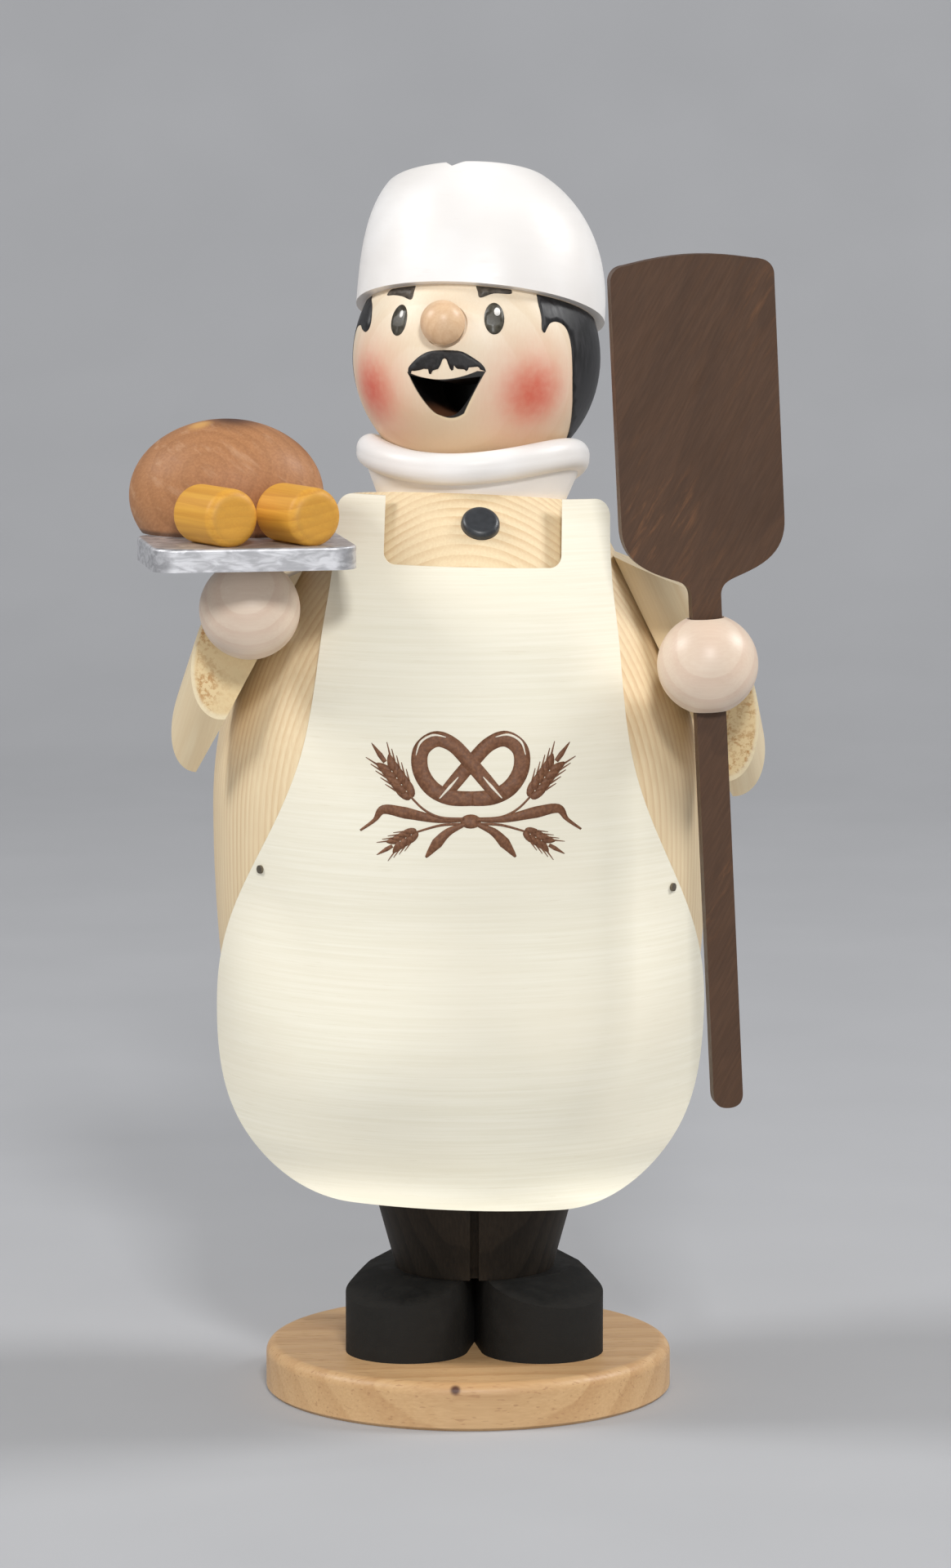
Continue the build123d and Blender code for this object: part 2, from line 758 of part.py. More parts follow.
# Baker's right arm: upper arm and forearm joined by a mitre, dowelled at the shoulder
with BuildPart() as right_upper_arm:
    with BuildSketch(Plane(origin=right_elbow - right_up * arm_stock, z_dir=right_up)):
        Circle(arm_r)
    extrude(amount=2 * arm_stock)
    split(bisect_by=right_mitre, keep=Keep.BOTTOM)
    split(bisect_by=right_cuff, keep=Keep.BOTTOM)
    split(bisect_by=right_seat, keep=Keep.TOP)
    split(bisect_by=right_slope, keep=Keep.BOTTOM)
    with BuildSketch(right_seat):
        Circle(arm_dowel_r + glue_gap)
    extrude(amount=shoulder_dowel_out, mode=Mode.SUBTRACT)
right_upper_arm.part.label = "right_upper_arm"
export_step(right_upper_arm.part, "parts/right_upper_arm.step")

with BuildPart() as right_forearm:
    with BuildSketch(Plane(origin=right_elbow - right_fore * arm_stock, z_dir=right_fore)):
        Circle(arm_r)
    extrude(amount=2 * arm_stock)
    split(bisect_by=right_mitre, keep=Keep.TOP)
    split(bisect_by=right_cuff, keep=Keep.BOTTOM)
    split(bisect_by=right_seat, keep=Keep.TOP)
right_forearm.part.label = "right_forearm"
export_step(right_forearm.part, "parts/right_forearm.step")

with BuildPart() as right_shoulder_dowel:
    with BuildSketch(right_seat.offset(end_gap - shoulder_dowel_in)):
        Circle(arm_dowel_r)
    extrude(amount=shoulder_dowel_in + shoulder_dowel_out - 2 * end_gap)
right_shoulder_dowel.part.label = "right_shoulder_dowel"
export_step(right_shoulder_dowel.part, "parts/right_shoulder_dowel.step")

with BuildPart() as right_hand:
    with Locations(Location(right_palm)):
        Sphere(hand_r)
    split(bisect_by=right_cuff, keep=Keep.TOP)
    split(bisect_by=Plane.XY.offset(tray_z), keep=Keep.BOTTOM)
    with BuildSketch(Plane.XY.offset(tray_z)):
        with Locations((right_palm.X, right_palm.Y)):
            Circle(tray_pin_r + glue_gap)
    extrude(amount=-tray_pin_down, mode=Mode.SUBTRACT)
right_hand.part.label = "right_hand"
export_step(right_hand.part, "parts/right_hand.step")

# Baker's left arm, with a bored bead for the hand that holds the peel
with BuildPart() as left_upper_arm:
    with BuildSketch(Plane(origin=left_elbow - left_up * arm_stock, z_dir=left_up)):
        Circle(arm_r)
    extrude(amount=2 * arm_stock)
    split(bisect_by=left_mitre, keep=Keep.BOTTOM)
    split(bisect_by=left_cuff, keep=Keep.BOTTOM)
    split(bisect_by=left_seat, keep=Keep.TOP)
    split(bisect_by=left_slope, keep=Keep.BOTTOM)
    with BuildSketch(left_seat):
        Circle(arm_dowel_r + glue_gap)
    extrude(amount=shoulder_dowel_out, mode=Mode.SUBTRACT)
left_upper_arm.part.label = "left_upper_arm"
export_step(left_upper_arm.part, "parts/left_upper_arm.step")

with BuildPart() as left_forearm:
    with BuildSketch(Plane(origin=left_elbow - left_fore * arm_stock, z_dir=left_fore)):
        Circle(arm_r)
    extrude(amount=2 * arm_stock)
    split(bisect_by=left_mitre, keep=Keep.TOP)
    split(bisect_by=left_cuff, keep=Keep.BOTTOM)
    split(bisect_by=left_seat, keep=Keep.TOP)
left_forearm.part.label = "left_forearm"
export_step(left_forearm.part, "parts/left_forearm.step")

with BuildPart() as left_shoulder_dowel:
    with BuildSketch(left_seat.offset(end_gap - shoulder_dowel_in)):
        Circle(arm_dowel_r)
    extrude(amount=shoulder_dowel_in + shoulder_dowel_out - 2 * end_gap)
left_shoulder_dowel.part.label = "left_shoulder_dowel"
export_step(left_shoulder_dowel.part, "parts/left_shoulder_dowel.step")

with BuildPart() as left_hand:
    with Locations(Location(left_palm)):
        Sphere(hand_r)
    split(bisect_by=left_cuff, keep=Keep.TOP)
    split(bisect_by=peel_line.offset(bead_half), keep=Keep.BOTTOM)
    split(bisect_by=peel_line.offset(-bead_half), keep=Keep.TOP)
    with BuildSketch(peel_line):
        Circle(peel_bore_r)
    extrude(amount=2 * hand_r, both=True, mode=Mode.SUBTRACT)
left_hand.part.label = "left_hand"
export_step(left_hand.part, "parts/left_hand.step")

# Metal tray and the pin that holds it on the hand
with BuildPart() as tray:
    with BuildSketch(Plane.XY.offset(tray_z)):
        with Locations(Location((tray_x, tray_y), tray_turn)):
            RectangleRounded(tray_w, tray_d, tray_corner)
    extrude(amount=tray_t)
    fillet(tray.edges().group_by(Axis.Z)[-1], tray_edge)
    with BuildSketch(Plane.XY.offset(tray_z)):
        with Locations((right_palm.X, right_palm.Y)):
            Circle(tray_pin_r + glue_gap)
    extrude(amount=tray_pin_up + glue_gap, mode=Mode.SUBTRACT)
tray.part.label = "tray"
export_step(tray.part, "parts/tray.step")

with BuildPart() as tray_pin:
    with BuildSketch(Plane.XY.offset(tray_z - tray_pin_down)):
        with Locations((right_palm.X, right_palm.Y)):
            Circle(tray_pin_r)
    extrude(amount=tray_pin_down + tray_pin_up)
tray_pin.part.label = "tray_pin"
export_step(tray_pin.part, "parts/tray_pin.step")

# Oval loaf with a flat underside, and two rolls, on the tray
with BuildPart() as loaf:
    Sphere(loaf_r)
    split(bisect_by=Plane.XY.offset(-loaf_mid), keep=Keep.TOP)
    scale(by=(loaf_half / loaf_r, 1, 1))
placed_loaf = loaf.part.moved(Location((tray_x + loaf_side, tray_y + loaf_back, bread_z + loaf_mid)))
placed_loaf.label = "loaf"
export_step(placed_loaf, "parts/loaf.step")

with BuildPart() as roll_left:
    with BuildSketch(Plane(origin=left_roll_mid - roll_line * roll_l / 2, z_dir=roll_line)):
        Circle(roll_r)
    extrude(amount=roll_l)
    fillet(roll_left.edges().filter_by(GeomType.CIRCLE), roll_round)
    split(bisect_by=Plane.XY.offset(bread_z), keep=Keep.TOP)
roll_left.part.label = "roll_left"
export_step(roll_left.part, "parts/roll_left.step")

with BuildPart() as roll_right:
    with BuildSketch(Plane(origin=right_roll_mid - roll_line * roll_l / 2, z_dir=roll_line)):
        Circle(roll_r)
    extrude(amount=roll_l)
    fillet(roll_right.edges().filter_by(GeomType.CIRCLE), roll_round)
    split(bisect_by=Plane.XY.offset(bread_z), keep=Keep.TOP)
roll_right.part.label = "roll_right"
export_step(roll_right.part, "parts/roll_right.step")

# Peel: a flat board cut to a blade and a handle
with BuildPart() as peel:
    with BuildSketch(peel_face):
        with BuildLine():
            corner_x = peel_half - peel_corner
            corner_z = peel_top - peel_crown
            Spline((0, peel_top), (corner_x, corner_z), tangents=((1, 0), (1, -0.2)))
            RadiusArc((corner_x, corner_z), (peel_half, corner_z - peel_corner), peel_corner)
            Line((peel_half, corner_z - peel_corner), (peel_half, blade_foot))
            waist_x = handle_half + 0.28 * (peel_half - handle_half)
            waist_y = blade_neck + 0.26 * (blade_foot - blade_neck)
            blade_curve = [(peel_half, blade_foot), (waist_x, waist_y), (handle_half, blade_neck)]
            Spline(*blade_curve, tangents=((0, -1), (0, -1)))
            Line((handle_half, blade_neck), (handle_half, handle_half - handle_l))
            Spline((handle_half, handle_half - handle_l), (0, -handle_l), tangents=((0, -1), (-1, 0)))
            mirror(about=Plane.YZ)
        make_face()
    extrude(amount=peel_t / 2, both=True)
peel.part.label = "peel"
export_step(peel.part, "parts/peel.step")
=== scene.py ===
import math
import bpy
from mathutils import Matrix, Vector
from mathutils.bvhtree import BVHTree
from mathutils.geometry import delaunay_2d_cdt


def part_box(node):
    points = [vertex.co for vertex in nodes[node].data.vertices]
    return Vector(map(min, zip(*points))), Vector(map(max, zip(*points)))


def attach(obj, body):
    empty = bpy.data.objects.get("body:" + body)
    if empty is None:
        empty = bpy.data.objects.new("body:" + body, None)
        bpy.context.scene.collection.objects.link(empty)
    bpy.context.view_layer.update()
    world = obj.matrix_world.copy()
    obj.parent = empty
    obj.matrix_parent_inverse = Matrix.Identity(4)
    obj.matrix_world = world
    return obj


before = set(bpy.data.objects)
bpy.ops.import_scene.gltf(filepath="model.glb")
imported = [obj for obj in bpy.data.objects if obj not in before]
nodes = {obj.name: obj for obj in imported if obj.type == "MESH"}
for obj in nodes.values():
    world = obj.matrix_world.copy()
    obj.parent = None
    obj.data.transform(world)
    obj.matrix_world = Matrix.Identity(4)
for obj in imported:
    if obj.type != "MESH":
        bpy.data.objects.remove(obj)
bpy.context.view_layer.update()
MM = 0.001


def srgb(red, green, blue):
    """Linear colour from 0..255 values."""
    out = []
    for value in (red, green, blue):
        share = value / 255
        out.append(share / 12.92 if share <= 0.04045 else ((share + 0.055) / 1.055) ** 2.4)
    return (*out, 1.0)


class Paint:
    """One procedural material, with short names for the nodes that it is made of."""

    def __init__(self, name, **sockets):
        self.mat = bpy.data.materials.new(name)
        self.mat.use_nodes = True
        self.tree = self.mat.node_tree
        self.tree.nodes.clear()
        self.bsdf = self.add("ShaderNodeBsdfPrincipled")
        out = self.add("ShaderNodeOutputMaterial")
        self.tree.links.new(self.bsdf.outputs["BSDF"], out.inputs["Surface"])
        for socket, value in sockets.items():
            self.bsdf.inputs[socket.replace("_", " ")].default_value = value

    def add(self, kind, **props):
        node = self.tree.nodes.new(kind)
        for key, value in props.items():
            setattr(node, key, value)
        return node

    def put(self, value, socket):
        if isinstance(value, bpy.types.NodeSocket):
            self.tree.links.new(value, socket)
        else:
            socket.default_value = value

    def math(self, operation, a, b=0.0):
        node = self.add("ShaderNodeMath", operation=operation)
        self.put(a, node.inputs[0])
        self.put(b, node.inputs[1])
        return node.outputs[0]

    def step(self, value, low, high, start=0.0, end=1.0):
        node = self.add("ShaderNodeMapRange", interpolation_type="SMOOTHSTEP")
        for socket, given in zip(node.inputs, (value, low, high, start, end)):
            self.put(given, socket)
        return node.outputs[0]

    def mix(self, share, a, b, blend="MIX"):
        node = self.add("ShaderNodeMix", data_type="RGBA", blend_type=blend)
        self.put(share, node.inputs[0])
        self.put(a, node.inputs[6])
        self.put(b, node.inputs[7])
        return node.outputs[2]

    def coords(self, origin=(0, 0, 0), turn=(0, 0, 0)):
        """Place on the piece in millimetres, seen from a point and a direction."""
        source = self.add("ShaderNodeTexCoord")
        node = self.add("ShaderNodeMapping", vector_type="TEXTURE")
        self.put(source.outputs["Object"], node.inputs["Vector"])
        node.inputs["Location"].default_value = [value * MM for value in origin]
        node.inputs["Rotation"].default_value = [math.radians(value) for value in turn]
        node.inputs["Scale"].default_value = (MM, MM, MM)
        return node.outputs[0]

    def stretch(self, vector, x, y, z):
        node = self.add("ShaderNodeVectorMath", operation="MULTIPLY")
        self.put(vector, node.inputs[0])
        node.inputs[1].default_value = (x, y, z)
        return node.outputs[0]

    def length(self, vector):
        node = self.add("ShaderNodeVectorMath", operation="LENGTH")
        self.put(vector, node.inputs[0])
        return node.outputs["Value"]

    def axis(self, vector, letter):
        node = self.add("ShaderNodeSeparateXYZ")
        self.put(vector, node.inputs[0])
        return node.outputs[letter]

    def facing(self, direction):
        """How far a face looks along a direction, from -1 to 1."""
        source = self.add("ShaderNodeTexCoord")
        node = self.add("ShaderNodeVectorMath", operation="DOT_PRODUCT")
        self.put(source.outputs["Normal"], node.inputs[0])
        node.inputs[1].default_value = Vector(direction).normalized()
        return node.outputs["Value"]

    def noise(self, vector, scale=1.0, detail=2.0, rough=0.5, warp=0.0):
        node = self.add("ShaderNodeTexNoise")
        self.put(vector, node.inputs["Vector"])
        node.inputs["Scale"].default_value = scale
        node.inputs["Detail"].default_value = detail
        node.inputs["Roughness"].default_value = rough
        node.inputs["Distortion"].default_value = warp
        return node.outputs["Fac"]

    def edges(self, low=0.52, high=0.58):
        """Share of the piece's outer edges that are paler, from rubbed finish and painted highlight."""
        source = self.add("ShaderNodeNewGeometry")
        return self.step(source.outputs["Pointiness"], low, high)

    def finish(self, colour, rough=None, height=None, strength=0.2, depth=0.1):
        self.put(colour, self.bsdf.inputs["Base Color"])
        if rough is not None:
            self.put(rough, self.bsdf.inputs["Roughness"])
        if height is not None:
            node = self.add("ShaderNodeBump")
            node.inputs["Strength"].default_value = strength
            node.inputs["Distance"].default_value = depth * MM
            self.put(height, node.inputs["Height"])
            self.put(node.outputs[0], self.bsdf.inputs["Normal"])
        return self.mat


def grain(paint, early, late, origin, turn, ring, wobble=1.0, depth=0.7, fibre=0.25, jump=1.4):
    """Colour and height of wood whose pith runs along its own Z axis."""
    place = paint.coords(origin, turn)
    drift = paint.noise(paint.stretch(place, 0.045, 0.045, 0.012), detail=3)
    radius = paint.length(paint.stretch(place, 1, 1, 0))
    bent = paint.math("ADD", radius, paint.math("MULTIPLY", drift, 6 * wobble))
    years = paint.math("DIVIDE", bent, ring)
    uneven = paint.noise(paint.stretch(place, 0.16 / ring, 0.16 / ring, 0.004), detail=1)
    phase = paint.math("FRACT", paint.math("ADD", years, paint.math("MULTIPLY", uneven, jump)))
    band = paint.math("MULTIPLY", paint.step(phase, 0.25, 0.9), paint.step(phase, 0.93, 1.0, 1.0, 0.0))
    strength = paint.step(uneven, 0.3, 0.7, 0.45, 1.0)
    share = paint.math("MULTIPLY", paint.math("MULTIPLY", band, strength), depth)
    streak = paint.noise(paint.stretch(place, 2.6, 2.6, 0.07), detail=4, rough=0.6)
    pore = paint.noise(paint.stretch(place, 9, 9, 0.35), detail=2)
    colour = paint.mix(share, early, late)
    shade = paint.step(streak, 0.3, 0.75, 1.0 - fibre, 1.0)
    colour = paint.mix(1.0, colour, paint.mix(shade, late, (1, 1, 1, 1)), "MULTIPLY")
    height = paint.math("ADD", paint.math("MULTIPLY", streak, 0.6), paint.math("MULTIPLY", pore, 0.4))
    return colour, height


def wear_and_edge_highlight(paint, colour, pale, share=0.5):
    """Paler outer edges: partly finish rubbed thin, partly a painted highlight along the edges."""
    return paint.mix(paint.math("MULTIPLY", paint.edges(), share), colour, pale)


def spot(paint, colour, centre, radius, shade, soft=0.5):
    """A round mark on a surface."""
    away = paint.length(paint.coords(centre))
    return paint.mix(paint.step(away, radius * (1 - soft), radius * (1 + soft), 1.0, 0.0), colour, shade)


def dress(names, mat):
    for name in names.split():
        nodes[name].data.materials.clear()
        nodes[name].data.materials.append(mat)


def along(direction):
    """Turn in degrees that lays a grain's Z axis along a direction."""
    turn = Vector(direction).to_track_quat("Z", "Y").to_euler()
    return [math.degrees(value) for value in turn]


# Where the head is and where it looks
FACE_TURN = math.radians(15.5)
NECK_LEAN = math.radians(8.0)
NECK_TOP = Vector((0.5, 0, 143.8))
HEAD_R = 19.6
HEAD_RISE = 22.3
head_side = Vector((math.cos(FACE_TURN), -math.sin(FACE_TURN), 0))
head_back = Vector((math.sin(FACE_TURN), math.cos(FACE_TURN), 0))
head_up = head_back * math.sin(NECK_LEAN) + Vector((0, 0, math.cos(NECK_LEAN)))
head_front = head_side.cross(head_up)
head_centre = NECK_TOP + head_up * HEAD_RISE
head_frame = Matrix((head_side, -head_front, head_up)).transposed()


def head_line(turn, rise):
    """Direction from the head's centre, by degrees to the viewer's right and up."""
    a = math.radians(turn)
    e = math.radians(rise)
    return (head_front * math.cos(a) + head_side * math.sin(a)) * math.cos(e) + head_up * math.sin(e)


# Stand
paint = Paint("beech_base", Roughness=0.5)
colour, height = grain(
    paint, srgb(213, 175, 127), srgb(183, 137, 90), (0, 70, -60), (0, 90, 4),
    ring=5.0, wobble=1.2, depth=0.5, fibre=0.2,
)
place = paint.coords()
fleck = paint.noise(paint.stretch(place, 0.35, 2.2, 2.2), detail=1)
colour = paint.mix(paint.step(fleck, 0.64, 0.72, 0.0, 0.45), colour, srgb(160, 112, 74))
colour = spot(paint, colour, (-2.0, -32.2, 6.6), 0.75, srgb(84, 50, 34))
colour = wear_and_edge_highlight(paint, colour, srgb(226, 194, 150), 0.3)
dress("base_plate", paint.finish(colour, paint.step(fleck, 0.3, 0.8, 0.42, 0.56), height, 0.12))

paint = Paint("shoe_paint", Roughness=0.75, Specular_IOR_Level=0.2)
place = paint.coords()
dust = paint.noise(paint.stretch(place, 0.5, 0.5, 0.5), detail=5, rough=0.65)
brush = paint.noise(paint.stretch(place, 0.5, 4, 4), detail=3)
colour = paint.mix(paint.step(dust, 0.35, 0.75), srgb(18, 18, 17), srgb(29, 29, 27))
colour = wear_and_edge_highlight(paint, colour, srgb(52, 50, 47), 0.3)
dress("shoes", paint.finish(colour, paint.step(dust, 0.3, 0.8, 0.65, 0.85), brush, 0.2))

paint = Paint("leg_stain", Roughness=0.65, Specular_IOR_Level=0.25)
colour, height = grain(
    paint, srgb(50, 42, 33), srgb(31, 26, 20), (3, 46, 0), (2, 0, 0), ring=2.2, depth=0.7, fibre=0.35
)
dress("legs", paint.finish(colour, 0.62, height, 0.25))

paint = Paint("dowel_beech", Roughness=0.6)
colour, height = grain(paint, srgb(222, 194, 150), srgb(190, 152, 108), (20, 30, 0), (5, 0, 0), ring=2.0)
dress(
    "stand_dowels neck_sleeve hat_dowel right_shoulder_dowel left_shoulder_dowel",
    paint.finish(colour, 0.6, height, 0.2),
)

paint = Paint("tinplate", Metallic=1.0, Roughness=0.42)
place = paint.coords((1, 0, 0))
soot = paint.noise(paint.stretch(place, 0.3, 0.3, 0.3), detail=4)
colour = paint.mix(paint.step(soot, 0.5, 0.75), srgb(196, 192, 184), srgb(104, 92, 78))
dress("incense_dish", paint.finish(colour, paint.step(soot, 0.3, 0.8, 0.3, 0.6), soot, 0.15))

paint = Paint("nail_steel", Metallic=1.0, Roughness=0.45)
place = paint.coords()
dull = paint.noise(paint.stretch(place, 2, 2, 2), detail=3)
colour = paint.mix(dull, srgb(150, 140, 124), srgb(104, 96, 85))
shine = paint.step(dull, 0.3, 0.7, 0.35, 0.55)
dress("dish_nail apron_nails tray_pin", paint.finish(colour, shine, dull, 0.2))

# Torso: flat-sawn pine, the pith far in front
paint = Paint("pine_torso", Roughness=0.55)
colour, height = grain(
    paint, srgb(240, 220, 182), srgb(208, 168, 116), (4, -150, 90), (2.5, -1.0, 0),
    ring=1.35, wobble=0.1, depth=0.46, fibre=0.16, jump=0.6,
)
dress("torso", paint.finish(colour, 0.55, height, 0.1))

# Apron: bleached veneer, its grain lies level, a little buckled at both hips
paint = Paint("apron_veneer", Roughness=0.6)
place = paint.coords()
line = paint.noise(paint.stretch(place, 0.04, 0.04, 2.2), detail=4, rough=0.6)
cloud = paint.noise(paint.stretch(place, 0.03, 0.03, 0.05), detail=2)
tick = paint.noise(paint.stretch(place, 0.2, 0.2, 5.0), detail=2)
colour = paint.mix(paint.step(line, 0.3, 0.75), srgb(239, 233, 212), srgb(246, 241, 223))
colour = paint.mix(paint.step(cloud, 0.4, 0.7, 0.0, 0.5), colour, srgb(241, 233, 212))
colour = paint.mix(paint.step(tick, 0.64, 0.76, 0.0, 0.22), colour, srgb(214, 202, 172))
height = paint.math("MULTIPLY", line, 0.006)
for hip, reach, rise in (((31.5, -30, 70), 19.0, 2.6), ((-38, -26, 70), 15.0, 1.8)):
    away = paint.length(paint.stretch(paint.coords(hip), 1, 0.5, 0.85))
    height = paint.math("ADD", height, paint.step(away, 0.0, reach, rise, 0.0))
level = paint.axis(place, "Z")
height = paint.math("ADD", height, paint.step(level, 84.0, 34.0, 0.0, 9.5))
height = paint.math("ADD", height, paint.step(level, 45.0, 33.0, 0.0, -2.6))
dress("apron", paint.finish(colour, 0.6, height, 1.0, 1.0))

paint = Paint("button_paint", Roughness=0.38)
place = paint.coords()
brush = paint.noise(paint.stretch(place, 1.2, 1.2, 1.2), detail=3)
colour = paint.mix(brush, srgb(38, 40, 43), srgb(62, 65, 69))
dress("chest_button", paint.finish(wear_and_edge_highlight(paint, colour, srgb(92, 95, 98), 0.4), 0.38, brush, 0.12))

# White paint over turned wood
paint = Paint("white_paint", Roughness=0.42)
place = paint.coords((0, 0, 0), (0, 0, 0))
brush = paint.noise(paint.stretch(place, 0.25, 0.25, 1.6), detail=4)
cloud = paint.noise(paint.stretch(place, 0.06, 0.06, 0.06), detail=2)
colour = paint.mix(paint.step(cloud, 0.35, 0.7), srgb(238, 234, 230), srgb(247, 245, 243))
colour = paint.mix(paint.step(brush, 0.6, 0.8, 0.0, 0.3), colour, srgb(232, 226, 220))
dress("hat collar", paint.finish(colour, paint.step(brush, 0.3, 0.7, 0.36, 0.5), brush, 0.06))

# Head: pale wood, red cheeks, a dark painted mouth, with painted light and shade inside its cavity
paint = Paint("head_wood", Roughness=0.42)
colour, height = grain(
    paint, srgb(242, 226, 201), srgb(228, 204, 170), (30, 90, 160), (8, 3, 0),
    ring=3.0, depth=0.35, fibre=0.12,
)
face = paint.coords(head_centre, [math.degrees(value) for value in head_frame.to_euler()])
across = paint.axis(face, "X")
up = paint.axis(face, "Z")
# Lower face painted darker and warmer towards the chin: partly the wood's own tone, partly painted shade
# under the face.
colour = paint.mix(paint.step(up, -4.0, -15.0, 0.0, 0.6), colour, srgb(208, 168, 122))
dab = paint.noise(paint.coords(), 0.8, 2)
CHEEK_TURNS = (-45.0, 44.5)
CHEEK_RISE = -18.5
for turn in CHEEK_TURNS:
    cheek = head_centre + head_line(turn, CHEEK_RISE) * HEAD_R
    away = paint.length(paint.coords(cheek))
    halo = paint.math("MULTIPLY", paint.step(away, 1.0, 13.0, 1.0, 0.0), paint.step(dab, 0.2, 0.7, 0.6, 0.75))
    colour = paint.mix(halo, colour, srgb(236, 164, 138))
    core = paint.math("MULTIPLY", paint.step(away, 0.0, 7.5, 1.0, 0.0), paint.step(dab, 0.2, 0.7, 0.7, 0.85))
    colour = paint.mix(core, colour, srgb(216, 88, 67))

# The mouth's dark paint: below the lip's bow, between two slanting sides, above a round foot
LIP_UP = -4.689
LIP_TILT = 0.0587
LIP_BOW = 0.0399
LIP_TOP = -3.25
SIDE_OUT = 8.458
SIDE_SLANT = 0.56
OTHER_SIDE_OUT = 8.913
OTHER_SIDE_SLANT = 0.74
FOOT_SIDE = 0.7
FOOT_DOWN = 10.6
FOOT_ROUND = 0.15
bow = paint.math("ADD", paint.math("MULTIPLY", across, LIP_TILT), LIP_UP)
bow = paint.math("ADD", bow, paint.math("MULTIPLY", paint.math("MULTIPLY", across, across), LIP_BOW))
below = paint.math("SUBTRACT", paint.math("MINIMUM", bow, LIP_TOP), up)
side = paint.math("ADD", paint.math("MULTIPLY", up, SIDE_SLANT), SIDE_OUT)
left_of = paint.math("SUBTRACT", side, across)
side = paint.math("ADD", paint.math("MULTIPLY", up, OTHER_SIDE_SLANT), OTHER_SIDE_OUT)
right_of = paint.math("ADD", side, across)
foot = paint.math("SUBTRACT", across, FOOT_SIDE)
foot = paint.math("MULTIPLY", paint.math("MULTIPLY", foot, foot), -FOOT_ROUND)
above = paint.math("ADD", paint.math("ADD", up, FOOT_DOWN), foot)
within = paint.math("MINIMUM", paint.math("MINIMUM", below, above), paint.math("MINIMUM", left_of, right_of))
front = paint.step(paint.axis(face, "Y"), -6.0, -4.0, 1.0, 0.0)
painted = paint.math("MULTIPLY", paint.step(within, -0.04, 0.1), front)
# Pale band just outside the mouth's lower sides: partly bare wood at the cut edge, partly a painted highlight
# on it.
rim = paint.math("MULTIPLY", paint.step(within, -0.6, -0.1, 0.0, 0.6), paint.step(up, -5.5, -8.0))
colour = paint.mix(paint.math("MULTIPLY", rim, front), colour, srgb(242, 224, 186))
inside = paint.step(paint.length(paint.coords(head_centre)), HEAD_R - 0.5, HEAD_R - 0.12, 1.0, 0.0)
inside = paint.math("MULTIPLY", inside, paint.step(up, -2.2, -3.0))
colour = paint.mix(painted, colour, srgb(20, 16, 13))
# Inside the mouth's cavity the wood is painted as light and shade: near black where the hollow gets no light,
# lit brown wood on its floor.
cavity_light_and_shade = paint.mix(paint.step(up, -7.6, -9.8), srgb(16, 13, 11), srgb(124, 80, 54))
colour = paint.mix(inside, colour, cavity_light_and_shade)
dress("head", paint.finish(colour, 0.42, height, 0.06))

paint = Paint("nose_wood", Roughness=0.4)
colour, height = grain(
    paint, srgb(230, 196, 158), srgb(208, 164, 124), (-4, -24, 171), along(head_line(0, 11)),
    ring=1.5, wobble=0.5, depth=0.3, fibre=0.16,
)
dress("nose", paint.finish(colour, 0.4, height, 0.06))

# Arms and hands: pale wood, cut across at the cuffs to rough end grain
arm_lines = {
    # line of the wood, elbow, degrees that the cut leans
    "right_upper_arm": ((6.9, 5.0, 12.2), (-38.7, -17.5, 114.3), 4.0),
    "right_forearm": ((5.0, -12.5, 15.1), (-38.7, -17.5, 114.3), 4.0),
    "left_upper_arm": ((-7.2, 6.3, 16.2), (39.6, -17.5, 108.8), 21.0),
    "left_forearm": ((-2.7, -14.5, 12.3), (39.6, -17.5, 108.8), 21.0),
}
for name, (line, elbow, lean) in arm_lines.items():
    paint = Paint("arm_wood_" + name, Roughness=0.55)
    pith = Vector(elbow) + Vector((26, 40, 8))
    colour, height = grain(
        paint, srgb(236, 218, 182), srgb(216, 186, 142), pith, along(line),
        ring=2.6, wobble=0.6, depth=0.4, fibre=0.14,
    )
    cut = (0, -math.cos(math.radians(lean)), -math.sin(math.radians(lean)))
    end = paint.step(paint.facing(cut), 0.985, 0.995)
    crumb = paint.noise(paint.coords(), 1.1, 5, 0.7)
    patch = paint.noise(paint.coords(), 0.22, 2)
    outer = paint.math("MULTIPLY", paint.axis(paint.coords(elbow), "X"), math.copysign(1.0, elbow[0]))
    dark = paint.math("MULTIPLY", paint.step(crumb, 0.54, 0.4), paint.step(patch, 0.36, 0.62, 0.4, 1.0))
    dark = paint.math("MULTIPLY", dark, paint.step(outer, -1.0, 2.0, 0.15, 0.9))
    torn = paint.mix(dark, srgb(236, 211, 163), srgb(190, 138, 80))
    away = paint.length(paint.stretch(paint.coords(elbow, along(line)), 1, 1, 0))
    torn = paint.mix(paint.step(away, 5.8, 6.3, 0.0, 0.8), torn, srgb(244, 230, 196))
    colour = paint.mix(end, colour, torn)
    bumps = paint.math("ADD", height, paint.math("MULTIPLY", paint.math("MULTIPLY", crumb, end), 5.0))
    dress(name, paint.finish(colour, paint.step(end, 0, 1, 0.5, 0.8), bumps, 0.2, 0.15))

paint = Paint("hand_wood", Roughness=0.4)
colour, height = grain(
    paint, srgb(230, 210, 189), srgb(212, 178, 156), (0, 60, 60), (0, 90, 0),
    ring=2.4, wobble=0.8, depth=0.3, fibre=0.12,
)
dress("right_hand left_hand", paint.finish(colour, 0.4, height, 0.06))

# Tray and bread
paint = Paint("tray_metal", Metallic=0.8, Roughness=0.5)
place = paint.coords((-34, -35, 138), (0, 0, 10))
brush = paint.noise(paint.stretch(place, 0.12, 5, 3), detail=5, rough=0.7)
smear = paint.noise(paint.stretch(place, 0.3, 0.5, 0.9), detail=4, warp=1.0)
colour = paint.mix(paint.step(smear, 0.35, 0.7), srgb(182, 182, 185), srgb(224, 224, 227))
dress("tray", paint.finish(colour, paint.step(brush, 0.25, 0.75, 0.4, 0.6), brush, 0.25))

